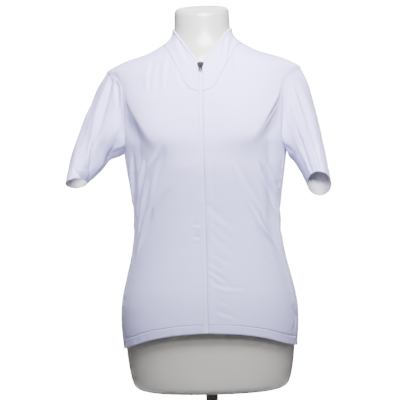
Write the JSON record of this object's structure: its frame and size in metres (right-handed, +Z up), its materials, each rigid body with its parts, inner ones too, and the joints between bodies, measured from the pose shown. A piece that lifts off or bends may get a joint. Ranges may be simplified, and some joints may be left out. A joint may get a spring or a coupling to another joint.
{
  "type": "cycling jersey on a dress form",
  "caption": "White short-sleeved cycling jersey with a full-length front zip, stand collar and rear pocket, standing on a limbless dress form with a round base plate.",
  "frame": {"origin": "on the floor under the middle of the round base plate, on the pole's axis", "axes": "+Z up along the pole, -Y out of the front zip, +X towards the wearer's left sleeve"},
  "size_m": [0.505, 0.28, 0.8169],
  "materials": {
    "cloth": "matt white stretch knit",
    "zip": "white coil and tape",
    "zip_metal": "satin grey",
    "form": "smooth off-white shell",
    "stand": "dark satin steel"
  },
  "bodies": {
    "garment_on_stand": {"front_left": "cloth", "front_right": "cloth", "back": "cloth", "side_left": "cloth", "side_right": "cloth", "hem_band": "cloth", "collar": "cloth", "sleeve_left": "cloth", "sleeve_right": "cloth", "rear_pocket": "cloth", "zip_tape_left": "zip", "zip_tape_right": "zip", "zip_chain": "zip", "zip_box": "zip", "zip_slider": "zip_metal", "dress_form": "form", "stand_pole": "stand", "base_plate": "stand"},
    "pull_tab": {"zip_pull": "zip_metal"}
  },
  "joints": [
    {"name": "pull_tab_hinge", "type": "hinge", "parent": "garment_on_stand", "child": "pull_tab", "pos_m": [0, -0.08929, 0.69626], "axis": [-1, 0, 0], "range_deg": [0, 150]}
  ]
}
